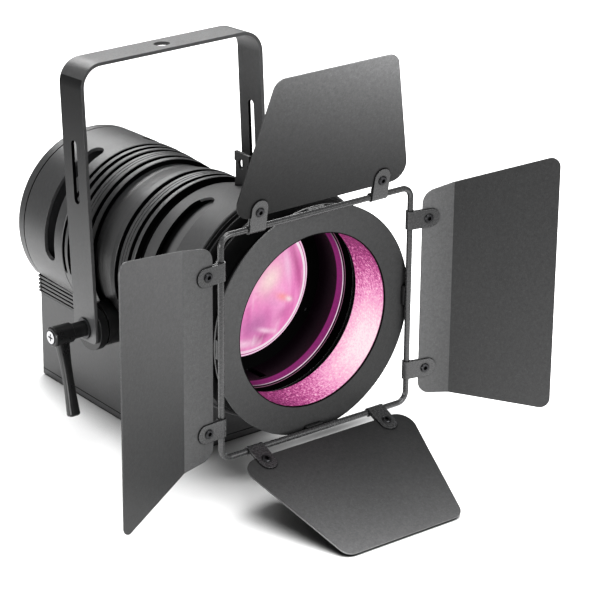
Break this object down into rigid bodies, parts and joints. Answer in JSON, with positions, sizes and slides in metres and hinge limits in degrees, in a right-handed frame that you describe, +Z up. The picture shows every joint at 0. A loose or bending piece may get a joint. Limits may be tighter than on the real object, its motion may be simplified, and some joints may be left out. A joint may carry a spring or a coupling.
{
  "type": "par can light",
  "caption": "LED theatre spotlight with a focusing lens, ventilated round housing on a box base, tilting yoke with clamp levers and a square rod frame carrying hinged barn-door flaps.",
  "frame": {"origin": "centre of the rest face under the base", "axes": "+Z up, the lamp points along -Y, +X to the right seen from the front of the lamp"},
  "size_m": [0.4242, 0.4473, 0.3659],
  "materials": {
    "shell_paint": "fine-textured powder coat on die-cast aluminium",
    "sheet_paint": "fine-textured powder coat on sheet steel",
    "clip_metal": "satin black coated spring steel",
    "baffle_black": "deep matt black",
    "black_plastic": "moulded glass-filled nylon",
    "button_plastic": "moulded",
    "rubber": "matt",
    "steel": "zinc plated",
    "chrome": "polished",
    "aluminium": "mill finish",
    "reflector_metal": "bright anodised",
    "circuit_board": "solder-masked board",
    "display_window": "clear tinted window",
    "socket_metal": "satin nickel",
    "socket_blue": "moulded",
    "socket_grey": "moulded",
    "lens_glass": "clear with a stippled back",
    "led_emitter": "lit"
  },
  "bodies": {
    "housing": {"front_shell": "shell_paint", "mid_shell": "shell_paint", "rear_shell": "shell_paint", "rear_cap": "shell_paint", "base_box": "shell_paint", "base_plate": "shell_paint", "base_pad": "rubber", "inner_liner": "baffle_black", "gill_deflector": "baffle_black", "baffle_tube": "baffle_black", "guide_rods": "steel", "reflector": "reflector_metal", "led_board": "aluminium", "led_array": "led_emitter", "heat_sink": "aluminium", "fan_frame": "black_plastic", "power_board": "circuit_board", "control_board": "circuit_board", "rear_panel": "sheet_paint", "display_window": "display_window", "data_inlet": "socket_metal", "data_outlet": "socket_metal", "power_inlet": "socket_blue", "power_outlet": "socket_grey", "case_screws": "steel", "accessory_holder": "sheet_paint", "safety_eye": "sheet_paint", "pivot_bosses": "black_plastic", "friction_discs": "black_plastic"},
    "latch": {"accessory_latch": "sheet_paint"},
    "yoke": {"yoke": "sheet_paint"},
    "washer_left": {"clamp_washer_left": "steel"},
    "stud_left": {"clamp_stud_left": "steel", "clamp_screw_left": "chrome", "clamp_spring_left": "steel"},
    "lever_left": {"clamp_lever_left": "black_plastic"},
    "washer_right": {"clamp_washer_right": "steel"},
    "stud_right": {"clamp_stud_right": "steel", "clamp_screw_right": "chrome", "clamp_spring_right": "steel"},
    "lever_right": {"clamp_lever_right": "black_plastic"},
    "carriage": {"lens_carriage": "baffle_black", "lens": "lens_glass", "lens_ring": "baffle_black"},
    "focus_knob": {"zoom_knob": "black_plastic"},
    "fan": {"fan_rotor": "black_plastic"},
    "barndoor": {"barndoor_ring": "sheet_paint", "rod_frame": "sheet_paint"},
    "top_flap": {"flap_top": "sheet_paint", "hinge_clips_top": "clip_metal"},
    "bottom_flap": {"flap_bottom": "sheet_paint", "hinge_clips_bottom": "clip_metal"},
    "left_flap": {"flap_left": "sheet_paint", "hinge_clips_left": "clip_metal"},
    "right_flap": {"flap_right": "sheet_paint", "hinge_clips_right": "clip_metal"},
    "button_1": {"menu_button_1": "button_plastic"},
    "button_2": {"menu_button_2": "button_plastic"},
    "button_3": {"menu_button_3": "button_plastic"},
    "button_4": {"menu_button_4": "button_plastic"}
  },
  "joints": [
    {"name": "yoke_tilt", "type": "hinge", "parent": "housing", "child": "yoke", "pos_m": [0, -0.0163, 0.0953], "axis": [1, 0, 0], "range_deg": [-100, 38]},
    {"name": "latch_flip", "type": "hinge", "parent": "housing", "child": "latch", "pos_m": [0, -0.1665, 0.2455], "axis": [1, 0, 0], "range_deg": [-80, 0]},
    {"name": "clamp_left_travel", "type": "slide", "parent": "housing", "child": "washer_left", "axis": [1, 0, 0], "range_m": [-0.000525, 0]},
    {"name": "clamp_left_turn", "type": "hinge", "parent": "washer_left", "child": "stud_left", "pos_m": [0, -0.0163, 0.0953], "axis": [1, 0, 0], "range_deg": [-150, 0]},
    {"name": "clamp_left_pull", "type": "slide", "parent": "stud_left", "child": "lever_left", "axis": [-1, 0, 0], "range_m": [0, 0.0045], "stiffness_N_per_m": 300, "deforming": ["clamp_spring_left"]},
    {"name": "clamp_right_travel", "type": "slide", "parent": "housing", "child": "washer_right", "axis": [1, 0, 0], "range_m": [0, 0.000525]},
    {"name": "clamp_right_turn", "type": "hinge", "parent": "washer_right", "child": "stud_right", "pos_m": [0, -0.0163, 0.0953], "axis": [1, 0, 0], "range_deg": [0, 150]},
    {"name": "clamp_right_pull", "type": "slide", "parent": "stud_right", "child": "lever_right", "axis": [1, 0, 0], "range_m": [0, 0.0045], "stiffness_N_per_m": 300, "deforming": ["clamp_spring_right"]},
    {"name": "zoom_slide", "type": "slide", "parent": "housing", "child": "carriage", "axis": [0, 1, 0], "range_m": [-0.02, 0.006]},
    {"name": "zoom_knob_turn", "type": "hinge", "parent": "carriage", "child": "focus_knob", "pos_m": [0, -0.1199, 0.0453], "axis": [0, 0, 1], "range_deg": [0, 180]},
    {"name": "fan_spin", "type": "hinge", "parent": "housing", "child": "fan", "pos_m": [0, 0.081, 0.1453], "axis": [0, 1, 0], "continuous": true},
    {"name": "barndoor_turn", "type": "hinge", "parent": "housing", "child": "barndoor", "pos_m": [0, -0.2155, 0.1453], "axis": [0, 1, 0], "continuous": true},
    {"name": "flap_top_swing", "type": "hinge", "parent": "barndoor", "child": "top_flap", "pos_m": [0, -0.2155, 0.2403], "axis": [1, 0, 0], "range_deg": [-29, 90]},
    {"name": "flap_bottom_swing", "type": "hinge", "parent": "barndoor", "child": "bottom_flap", "pos_m": [0, -0.2155, 0.0503], "axis": [-1, 0, 0], "range_deg": [-87, 33]},
    {"name": "flap_left_swing", "type": "hinge", "parent": "barndoor", "child": "left_flap", "pos_m": [-0.095, -0.2155, 0.1453], "axis": [0, 0, -1], "range_deg": [-96, 20]},
    {"name": "flap_right_swing", "type": "hinge", "parent": "barndoor", "child": "right_flap", "pos_m": [0.095, -0.2155, 0.1453], "axis": [0, 0, 1], "range_deg": [-88, 28]},
    {"name": "button_1_press", "type": "slide", "parent": "housing", "child": "button_1", "axis": [0, -1, 0], "range_m": [0, 0.001], "stiffness_N_per_m": 60},
    {"name": "button_2_press", "type": "slide", "parent": "housing", "child": "button_2", "axis": [0, -1, 0], "range_m": [0, 0.001], "stiffness_N_per_m": 60},
    {"name": "button_3_press", "type": "slide", "parent": "housing", "child": "button_3", "axis": [0, -1, 0], "range_m": [0, 0.001], "stiffness_N_per_m": 60},
    {"name": "button_4_press", "type": "slide", "parent": "housing", "child": "button_4", "axis": [0, -1, 0], "range_m": [0, 0.001], "stiffness_N_per_m": 60}
  ],
  "couplings": [
    {"joint": "clamp_left_travel", "follows": "clamp_left_turn", "m_per_rad": 0.00019894},
    {"joint": "clamp_right_travel", "follows": "clamp_right_turn", "m_per_rad": 0.00019894}
  ]
}
